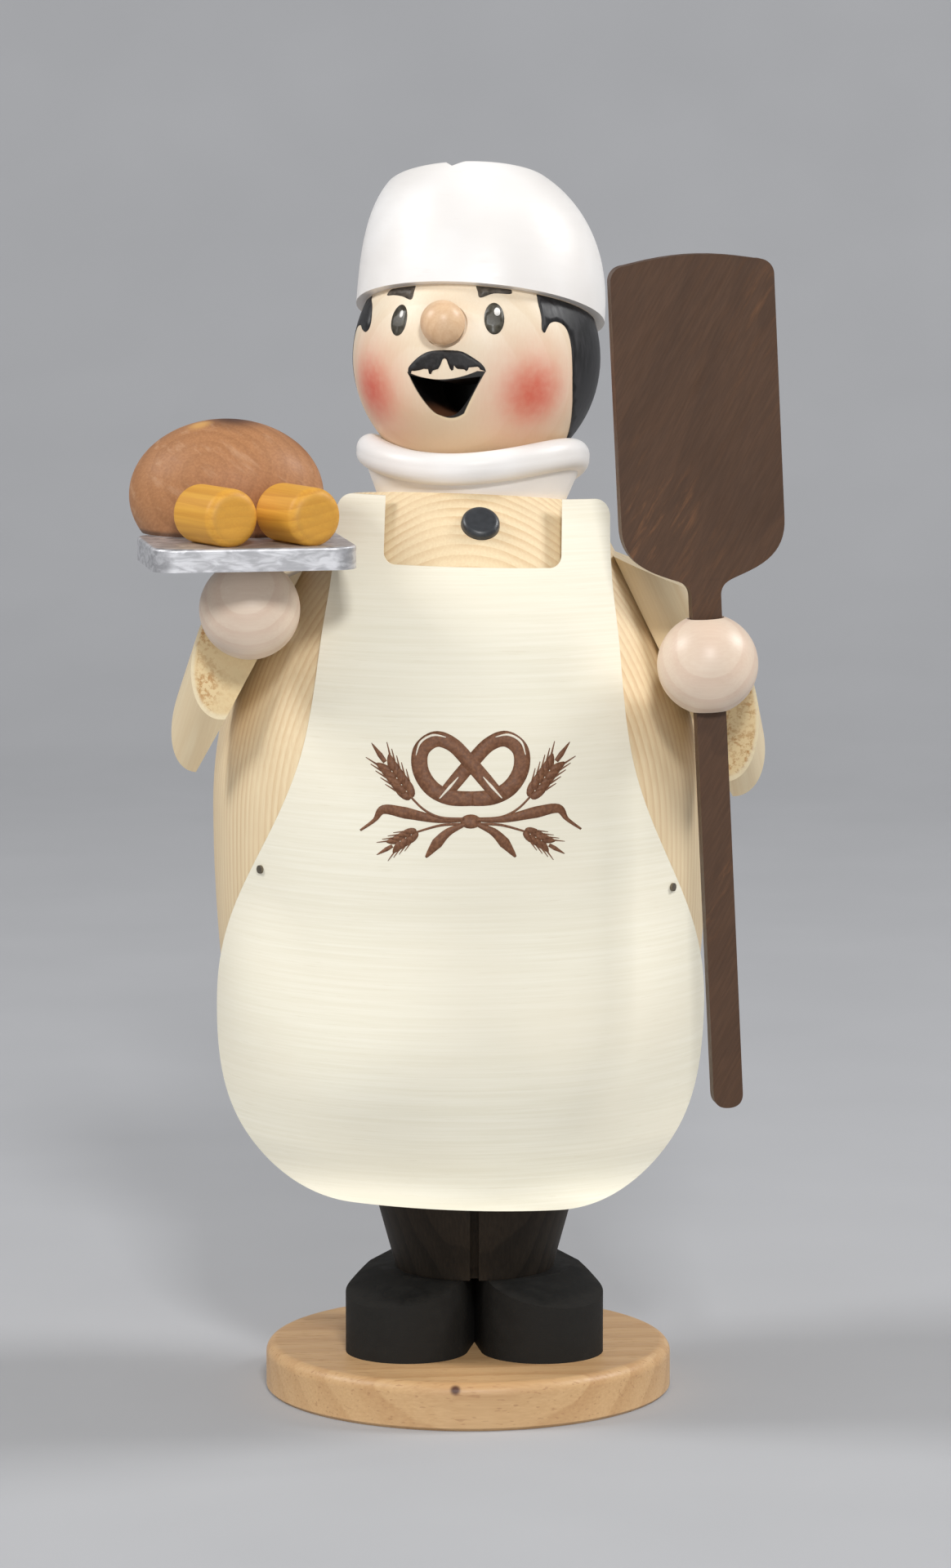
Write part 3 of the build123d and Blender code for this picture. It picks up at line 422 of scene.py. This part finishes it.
paint = Paint("loaf_stain", Roughness=0.55, Specular_IOR_Level=0.35)
colour, height = grain(
    paint, srgb(182, 130, 88), srgb(146, 100, 64), (-44, 10, 130), (64, 10, 0),
    ring=2.2, wobble=1.2, depth=0.35,
)
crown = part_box("loaf")
loaf_low = crown[0].z / MM
loaf_top = crown[1].z / MM
rub = paint.noise(paint.stretch(paint.coords((0, 0, 0), (0, 40, 0)), 0.12, 0.3, 0.7), detail=4, rough=0.6)
colour = paint.mix(paint.step(rub, 0.52, 0.74, 0.0, 0.4), colour, srgb(206, 166, 132))
colour = spot(paint, colour, (-36.5, -22.5, loaf_top - 0.2), 3.4, srgb(86, 56, 40), 0.8)
colour = spot(paint, colour, (-41.5, -24.5, loaf_top - 0.7), 1.5, srgb(206, 156, 92), 0.7)
# Painted shade: the loaf's foot, its lowest millimetre, is painted dark brown where it meets the tray.
rise = paint.axis(paint.coords((0, 0, loaf_low)), "Z")
colour = paint.mix(paint.step(rise, 0.3, 1.1, 0.8, 0.0), colour, srgb(84, 58, 42))
dress("loaf", paint.finish(colour, paint.step(rub, 0.3, 0.7, 0.5, 0.62), height, 0.12))

ROLL_LINE = (0.53, -0.85, 0)
paint = Paint("roll_stain", Roughness=0.5)
colour, height = grain(
    paint, srgb(226, 168, 62), srgb(194, 128, 38), (-20, -70, 190), along(ROLL_LINE),
    ring=1.6, wobble=0.8, depth=0.45, fibre=0.2,
)
end = paint.step(paint.facing(ROLL_LINE), 0.8, 0.95)
score = paint.noise(paint.stretch(paint.coords(), 0.5, 0.5, 1.2), detail=3)
stain = paint.math("MULTIPLY", end, paint.step(score, 0.35, 0.7, 0.45, 0.75))
colour = paint.mix(stain, colour, srgb(198, 144, 54))
dress("roll_left roll_right", paint.finish(colour, 0.55, height, 0.06))

# Peel: dark stained board with slanting streaks
paint = Paint("peel_stain", Roughness=0.6, Specular_IOR_Level=0.3)
colour, height = grain(
    paint, srgb(84, 59, 42), srgb(52, 35, 25), (20, 60, 120), (0, 28, 0),
    ring=3.2, wobble=2.0, depth=0.5, fibre=0.4,
)
place = paint.coords((36, -34, 150), (0, 32, 0))
rub = paint.noise(paint.stretch(place, 0.9, 0.9, 0.11), detail=5, rough=0.65, warp=0.3)
patch = paint.noise(paint.stretch(place, 0.05, 0.05, 0.03), detail=2)
lighter = paint.math("MULTIPLY", paint.step(rub, 0.5, 0.72), paint.step(patch, 0.42, 0.66))
colour = paint.mix(paint.math("MULTIPLY", lighter, 0.65), colour, srgb(142, 97, 64))
colour = wear_and_edge_highlight(paint, colour, srgb(104, 76, 56), 0.3)
dress("peel", paint.finish(colour, paint.step(rub, 0.3, 0.8, 0.5, 0.68), height, 0.25))


# Painted and printed shapes: thin skins that lie on the piece below them
def skin_of(name):
    mesh = nodes[name].data
    return BVHTree.FromPolygons([v.co for v in mesh.vertices], [p.vertices[:] for p in mesh.polygons])


head_skin = skin_of("head")
apron_skin = skin_of("apron")


def on_head(turn, rise):
    line = head_line(turn, rise)
    far = (head_centre + line * (HEAD_R + 10)) * MM
    hit = head_skin.ray_cast(far, -line)
    return hit[0], line


def on_apron(x, z):
    hit = apron_skin.ray_cast(Vector((x * MM, -0.08, z * MM)), Vector((0, 1, 0)))
    normal = hit[1] if hit[1].y < 0 else -hit[1]
    return hit[0], normal


def inside_outline(x, y, outline):
    odd = False
    last = outline[-1]
    for here in outline:
        if (here[1] > y) != (last[1] > y):
            if x < (last[0] - here[0]) * (y - here[1]) / (last[1] - here[1]) + here[0]:
                odd = not odd
        last = here
    return odd


def smooth(points, closed=True, parts=6):
    """Round curve through a few points."""
    count = len(points)
    out = []
    spans = count if closed else count - 1
    for i in range(spans):
        ring = []
        for k in (i - 1, i, i + 1, i + 2):
            ring.append(points[k % count] if closed else points[min(max(k, 0), count - 1)])
        p0, p1, p2, p3 = ring
        for step in range(parts):
            t = step / parts
            spot_xy = []
            for axis in (0, 1):
                a, b, c, d = p0[axis], p1[axis], p2[axis], p3[axis]
                bend = (2 * a - 5 * b + 4 * c - d) * t * t + (3 * b - a - 3 * c + d) * t**3
                spot_xy.append(0.5 * (2 * b + (c - a) * t + bend))
            out.append(tuple(spot_xy))
    if not closed:
        out.append(tuple(points[-1]))
    return out


def band(points, widths, parts=6):
    """Outline of a stroke of changing width along a smooth line."""
    path = smooth(points, False, parts)
    left = []
    right = []
    for i, (x, y) in enumerate(path):
        before = path[max(i - 1, 0)]
        after = path[min(i + 1, len(path) - 1)]
        dx, dy = after[0] - before[0], after[1] - before[1]
        size = math.hypot(dx, dy)
        place = i / (len(path) - 1) * (len(widths) - 1)
        k = min(int(place), len(widths) - 2)
        half = (widths[k] + (widths[k + 1] - widths[k]) * (place - k)) / 2
        left.append((x - dy / size * half, y + dx / size * half))
        right.append((x + dy / size * half, y - dx / size * half))
    return left + right[::-1]


def place_out(point):
    """Rough outward direction at a point of the upper body."""
    if point.z > NECK_TOP.z * MM:
        return (point - head_centre * MM).normalized()
    return Vector((0, -1, 0))


LAYERS = 5
LAYER_STEP = 0.004
RIM_CLEAR = 0.4


def skin(name, body, mat, outlines, place, lift, pitch, sink=0.04):
    """Thin raised mesh that covers the outlines on a curved surface."""
    verts = []
    faces = []
    for k, outline in enumerate(outlines):
        xs = [p[0] for p in outline]
        ys = [p[1] for p in outline]
        flat = [Vector(p) for p in outline]
        rim = [(i, (i + 1) % len(outline)) for i in range(len(outline))]
        across = int((max(xs) - min(xs)) / pitch)
        up = int((max(ys) - min(ys)) / pitch)
        for i in range(1, across + 1):
            for j in range(1, up + 1):
                x = min(xs) + (i - 0.5) * pitch
                y = min(ys) + (j - 0.5 + 0.25 * (i % 2)) * pitch
                near = min((x - p[0]) ** 2 + (y - p[1]) ** 2 for p in outline)
                if near > (RIM_CLEAR * pitch) ** 2 and inside_outline(x, y, outline):
                    flat.append(Vector((x, y)))
        points, _, tris, _, _, _ = delaunay_2d_cdt(flat, rim, [], 0, 1e-6)
        start = len(verts)
        rise = (lift + LAYER_STEP * (k % LAYERS)) * MM
        for p in points:
            spot_at, normal = place(p.x, p.y)
            verts.append(spot_at + normal * rise)
        kept = []
        for tri in tris:
            mid = [sum(points[i][axis] for i in tri) / 3 for axis in (0, 1)]
            if inside_outline(mid[0], mid[1], outline):
                kept.append(tuple(tri))
        edges = {}
        for tri in kept:
            faces.append([start + i for i in tri])
            for a, b in zip(tri, tri[1:] + tri[:1]):
                edges[(a, b)] = edges.get((a, b), 0) + 1
        low = {}
        for a, b in edges:
            if (b, a) in edges:
                continue
            for i in (a, b):
                if i not in low:
                    spot_at, normal = place(points[i].x, points[i].y)
                    low[i] = len(verts)
                    verts.append(spot_at - normal * sink * MM)
            faces.append([start + b, start + a, low[a], low[b]])
    mesh = bpy.data.meshes.new(name)
    mesh.from_pydata(verts, [], faces)
    mesh.validate()
    mesh.update()
    obj = bpy.data.objects.new(name, mesh)
    bpy.context.scene.collection.objects.link(obj)
    out = sum((p.normal.dot(place_out(p.center)) for p in mesh.polygons if len(p.vertices) == 3), 0.0)
    if out < 0:
        mesh.flip_normals()
    for p in mesh.polygons:
        p.use_smooth = len(p.vertices) == 3
    mesh.materials.append(mat)
    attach(obj, body)
    return obj


def paint_mat(name, dark, pale, rough, size=(1.5, 1.5, 1.5), turn=(0, 0, 0)):
    paint = Paint(name, Roughness=rough)
    brush = paint.noise(paint.stretch(paint.coords((0, 0, 0), turn), *size), detail=4, rough=0.6)
    colour = paint.mix(paint.step(brush, 0.35, 0.75), dark, pale)
    return paint.finish(colour, paint.step(brush, 0.3, 0.8, rough - 0.06, rough + 0.1), brush, 0.15)


hair_mat = paint_mat("hair_paint", srgb(20, 20, 21), srgb(45, 44, 47), 0.5, (1.2, 1.2, 0.25))
brow_mat = paint_mat("brow_paint", srgb(64, 56, 48), srgb(96, 86, 74), 0.5)
eye_mat = paint_mat("eye_paint", srgb(58, 54, 44), srgb(84, 80, 68), 0.4)
glint_mat = paint_mat("glint_paint", srgb(236, 234, 228), srgb(250, 248, 244), 0.4)
beard_mat = paint_mat("moustache_paint", srgb(24, 23, 23), srgb(46, 45, 46), 0.55)


def oval(x, y, half_x, half_y, tilt=0.0, count=28):
    out = []
    for i in range(count):
        a = 2 * math.pi * i / count
        dx, dy = half_x * math.cos(a), half_y * math.sin(a)
        c, s = math.cos(math.radians(tilt)), math.sin(math.radians(tilt))
        out.append((x + dx * c - dy * s, y + dx * s + dy * c))
    return out


# Hair outlines on both temples, by degrees from the face's middle and up
HAIR_SIDE = [
    (47, 30), (46.6, 24), (47.2, 17), (46.8, 11.2), (48.2, 9.6), (49.6, 11.6), (51.8, 14.2), (55.4, 15.3),
    (59.5, 14.4), (62.4, 11.6), (64.2, 5.6), (65.9, -5), (69.2, -15.5), (76.8, -27.4), (88, -37.5),
    (104, -46),
]
HAIR_OTHER = [
    (59.5, 30), (57.6, 25.9), (51.0, 21.6), (47.3, 16.6), (45.9, 12.5), (46.8, 9.7), (49.7, 8.5),
    (54.0, 9.8), (58.1, 12.0), (62.3, 12.2), (67.6, 10.8), (72.5, 4), (75, -5), (78.5, -15.5),
    (84, -27.4), (92, -37.5), (104, -46),
]
HAT_LEAN = math.radians(10.0)
HAT_SEAT = 7.3
HAT_GAP = 0.6


def hat_edge(turn):
    """Rise of the hat's seat on the head, a little below the hat."""
    flat = math.cos(math.radians(turn)) * math.sin(HAT_LEAN)
    size = math.hypot(math.cos(HAT_LEAN), flat)
    seat = math.asin(HAT_SEAT / HEAD_R / size) + math.atan2(flat, math.cos(HAT_LEAN))
    return math.degrees(seat) - HAT_GAP


def hair_outline():
    side = smooth(HAIR_SIDE, False, 4)
    low = [(turn, -49.0) for turn in range(112, 249, 8)]
    other = [(360 - turn, rise) for turn, rise in smooth(HAIR_OTHER, False, 4)[::-1]]
    rim = [(turn, hat_edge(turn)) for turn in range(296, 51, -4)]
    ring = [(turn, min(rise, hat_edge(turn))) for turn, rise in side + low + other]
    return ring + rim


skin("hair", "upper_body", hair_mat, [hair_outline()], on_head, 0.07, 4.0)
brows = [
    [
        (-39.4, 26.2), (-37.2, 29.8), (-30.0, 31.2), (-21.6, 31.4), (-20.3, 27.4), (-20.6, 23.4),
        (-27.1, 25.2), (-33.5, 26.0),
    ],
    [
        (14.2, 31.9), (22.0, 31.9), (30.7, 31.0), (32.8, 29.0), (31.4, 27.5), (23.2, 27.4),
        (16.2, 24.9), (14.8, 28.0),
    ],
]
brows = [[(turn, min(rise, hat_edge(turn))) for turn, rise in smooth(b, True, 4)] for b in brows]
skin("eyebrows", "upper_body", brow_mat, brows, on_head, 0.06, 3.0)
eyes = [oval(-24.9, 13.4, 4.7, 7.5, 4), oval(23.1, 14.9, 4.8, 7.6)]
skin("eyes", "upper_body", eye_mat, eyes, on_head, 0.06, 3.0)
glints = [oval(-24.0, 16.2, 1.1, 1.8), oval(24.5, 18.1, 1.5, 2.0)]
skin("eye_glints", "upper_body", glint_mat, glints, on_head, 0.09, 1.5)
moustache_top = [
    (-17.8, -11.9), (-17.8, -9.8), (-17.2, -8.3), (-14.6, -5.8), (-11.7, -3.6), (-8.3, -1.8), (-5.0, -1.0),
    (0.2, -0.6), (6.2, -0.7), (9.6, -1.4), (13.4, -3.4), (17.2, -5.8), (19.3, -8.0), (20.0, -9.7),
]
moustache_low = [
    (17.2, -8.9), (16.9, -8.2), (16.1, -7.7), (12.0, -8.2), (11.6, -9.4), (10.9, -9.9), (9.9, -9.1),
    (6.8, -9.0), (5.9, -8.3), (5.2, -7.4), (4.9, -9.4), (4.1, -9.9), (3.3, -9.0), (2.5, -7.1), (1.6, -4.8),
    (0.7, -4.3), (-0.2, -4.8), (-1.3, -7.5), (-2.3, -9.2), (-5.0, -10.0), (-6.0, -11.7), (-6.9, -11.4),
    (-7.3, -9.4), (-9.4, -9.2), (-11.9, -9.9), (-14.4, -10.2), (-16.0, -10.2), (-16.3, -11.2),
]
moustache = smooth(moustache_top, False, 3) + moustache_low
skin("moustache", "upper_body", beard_mat, [moustache], on_head, 0.06, 2.0)

# Print on the apron: a pretzel between ears of wheat, tied with a ribbon
ink = paint_mat("print_ink", srgb(108, 68, 43), srgb(140, 96, 66), 0.62, (2.2, 2.2, 2.2))
pale_ink = paint_mat("print_light", srgb(236, 226, 206), srgb(246, 240, 224), 0.62)
PRINT_X = 0.4
PRINT_Z = 105.6


def printed(points, side=1):
    """Outline at its place on the apron, mirrored for the sign's other side."""
    if side < 0:
        points = [(-x, z) for x, z in points][::-1]
    return [(x + PRINT_X, z + PRINT_Z) for x, z in points]


def stroke(points, widths, side, parts=6):
    """Printed stroke of changing width on one side of the sign."""
    return band(printed(points, side), widths[::side], parts)


def ear(x, z, angle, grains, size):
    """Ear of wheat: pairs of grains up a stem, each with a beard."""
    out = []
    c, s = math.cos(math.radians(angle)), math.sin(math.radians(angle))

    def turned(points):
        return [(x + px * c - pz * s, z + px * s + pz * c) for px, pz in points]

    for i in range(grains):
        up = i * 0.92 * size
        for side in (-1, 1):
            lean = side * math.radians(24)
            base_x = side * 0.52 * size
            base_z = up + 0.5 * size
            grain_shape = []
            for k in range(14):
                a = 2 * math.pi * k / 14
                wide = 0.44 * size * math.sin(a) * (1 - 0.25 * math.cos(a))
                tall = 0.98 * size * math.cos(a)
                grain_x = base_x + wide * math.cos(lean) + tall * math.sin(lean)
                grain_z = base_z - wide * math.sin(lean) + tall * math.cos(lean)
                grain_shape.append((grain_x, grain_z))
            out.append(turned(grain_shape))
            beard = [(side * 0.95 * size, up + 1.3 * size), (side * 1.5 * size, up + 2.6 * size)]
            out.append(turned(band(beard, (0.22 * size, 0.08 * size), 3)))
    tip = grains * 0.92 * size
    tip_line = [(0, tip), (0, tip + 1.0 * size), (0, tip + 2.6 * size)]
    out.append(turned(band(tip_line, (0.5 * size, 0.6 * size, 0.08), 4)))
    return out


# Half of the sign, on the viewer's right: rope, stems, ribbon tail and drop
rope = [
    (-4.7, -4.5), (-2.3, -1.6), (0.3, 1.4), (2.8, 3.9), (5.4, 4.7), (7.6, 3.0), (7.7, 0.0), (6.0, -2.7),
    (3.2, -4.1), (-0.4, -4.3),
]
rope_w = (2.0, 2.2, 2.2, 2.2, 2.4, 2.5, 2.5, 2.5, 2.4, 2.2)
upper_stem = [(1.0, -7.4), (4.6, -7.2), (7.2, -6.0), (9.4, -3.9)]
lower_stem = [(1.0, -8.2), (4.6, -8.4), (8.6, -9.6)]
tail = [(0.8, -7.6), (5.0, -7.5), (10.0, -6.6), (13.4, -6.2), (14.8, -7.9), (17.0, -9.6)]
drop = [(0.8, -8.2), (3.4, -9.4), (5.2, -11.2), (6.9, -13.4)]
rope_light = [(3.8, 5.0), (5.8, 5.3), (7.7, 4.2), (8.4, 2.2)]
end_light = [(1.9, -1.0), (3.2, -2.5), (4.8, -4.3)]
shapes = []
lights = []
for side in (1, -1):
    shapes.append(stroke(rope, rope_w, side, 8))
    shapes.append(stroke(upper_stem, (0.45, 0.4, 0.35, 0.3), side))
    shapes.append(stroke(lower_stem, (0.45, 0.4, 0.3), side))
    shapes.append(stroke(tail, (0.4, 1.1, 1.8, 1.4, 0.6, 0.3), side))
    shapes.append(stroke(drop, (0.5, 1.2, 1.7, 0.3), side))
    for shape in ear(*upper_stem[-1], -37, 5, 1.35) + ear(*lower_stem[-1], -122, 4, 1.1):
        shapes.append(printed(shape, side))
    lights.append(stroke(rope_light, (0.1, 0.34, 0.34, 0.1), side))
    lights.append(stroke(end_light, (0.1, 0.42, 0.15), side))
shapes.append(printed(oval(0, -7.8, 1.6, 1.1, count=20)))
skin("apron_print", "upper_body", ink, shapes, on_apron, 0.03, 1.2, 0.02)
skin("apron_print_lights", "upper_body", pale_ink, lights, on_apron, 0.07, 1.2, 0.0)

# Floor and backdrop in one sweep
SWEEP_R = 0.5
SWEEP_FRONT = -1.6
SWEEP_BACK = 0.7
SWEEP_TOP = 2.4
SWEEP_HALF = 2.2
SWEEP_STEPS = 12
profile = [(SWEEP_FRONT, 0.0), (SWEEP_BACK, 0.0)]
for i in range(1, SWEEP_STEPS + 1):
    a = math.pi / 2 * i / SWEEP_STEPS
    profile.append((SWEEP_BACK + SWEEP_R * math.sin(a), SWEEP_R * (1 - math.cos(a))))
profile.append((SWEEP_BACK + SWEEP_R, SWEEP_TOP))
verts = []
faces = []
for y, z in profile:
    verts += [(-SWEEP_HALF, y, z), (SWEEP_HALF, y, z)]
for i in range(len(profile) - 1):
    faces.append((2 * i, 2 * i + 1, 2 * i + 3, 2 * i + 2))
mesh = bpy.data.meshes.new("sweep")
mesh.from_pydata(verts, [], faces)
for p in mesh.polygons:
    p.use_smooth = True
sweep = bpy.data.objects.new("sweep", mesh)
bpy.context.scene.collection.objects.link(sweep)
paint = Paint("sweep_paper", Roughness=0.9)
fuzz = paint.noise(paint.coords(), 0.02, 2)
mesh.materials.append(paint.finish(paint.mix(fuzz, srgb(172, 173, 176), srgb(180, 181, 184))))


LAMP_AIM = Vector((0, 0, 0.1))


def lamp(name, place, width, height, watts):
    """Soft rectangular lamp that looks at the figure."""
    data = bpy.data.lights.new(name, "AREA")
    data.shape = "RECTANGLE"
    data.size = width
    data.size_y = height
    data.energy = watts
    obj = bpy.data.objects.new(name, data)
    obj.location = place
    obj.rotation_euler = (LAMP_AIM - Vector(place)).to_track_quat("-Z", "Y").to_euler()
    bpy.context.scene.collection.objects.link(obj)


lamp("key_front", (0.14, -1.36, 0.96), 0.2, 0.2, 11.9)
lamp("side_left", (-1.03, -0.09, 0.97), 0.42, 0.42, 8.9)
lamp("side_right", (1.05, 0.15, 0.93), 0.42, 0.42, 9.9)
lamp("fill_low", (0.0, -1.7, 0.3), 1.6, 0.5, 4.6)
world = bpy.data.worlds.new("studio")
world.use_nodes = True
sky = world.node_tree.nodes["Background"]
sky.inputs["Color"].default_value = (1, 1, 1, 1)
sky.inputs["Strength"].default_value = 0.2
bpy.context.scene.world = world
bpy.context.scene.view_settings.view_transform = "Standard"

# Camera at the photograph's angle: a long lens, a little above the figure's head
PHOTO_HEIGHT_PX = 1920
FOCAL_PX = 7740
SHIFT_PX = 9
SENSOR = 24.0
camera_from = Vector((0, -1.0, 0.237))
camera_aim = Vector((0, 0, 0.098))
camera = bpy.data.cameras.new("camera")
camera.sensor_fit = "VERTICAL"
camera.sensor_height = SENSOR
camera.lens = SENSOR * FOCAL_PX / PHOTO_HEIGHT_PX
camera.shift_x = SHIFT_PX / PHOTO_HEIGHT_PX
camera.clip_end = 20
camera_obj = bpy.data.objects.new("camera", camera)
camera_obj.location = camera_from
camera_obj.rotation_euler = (camera_aim - camera_from).to_track_quat("-Z", "Y").to_euler()
bpy.context.scene.collection.objects.link(camera_obj)
bpy.context.scene.camera = camera_obj
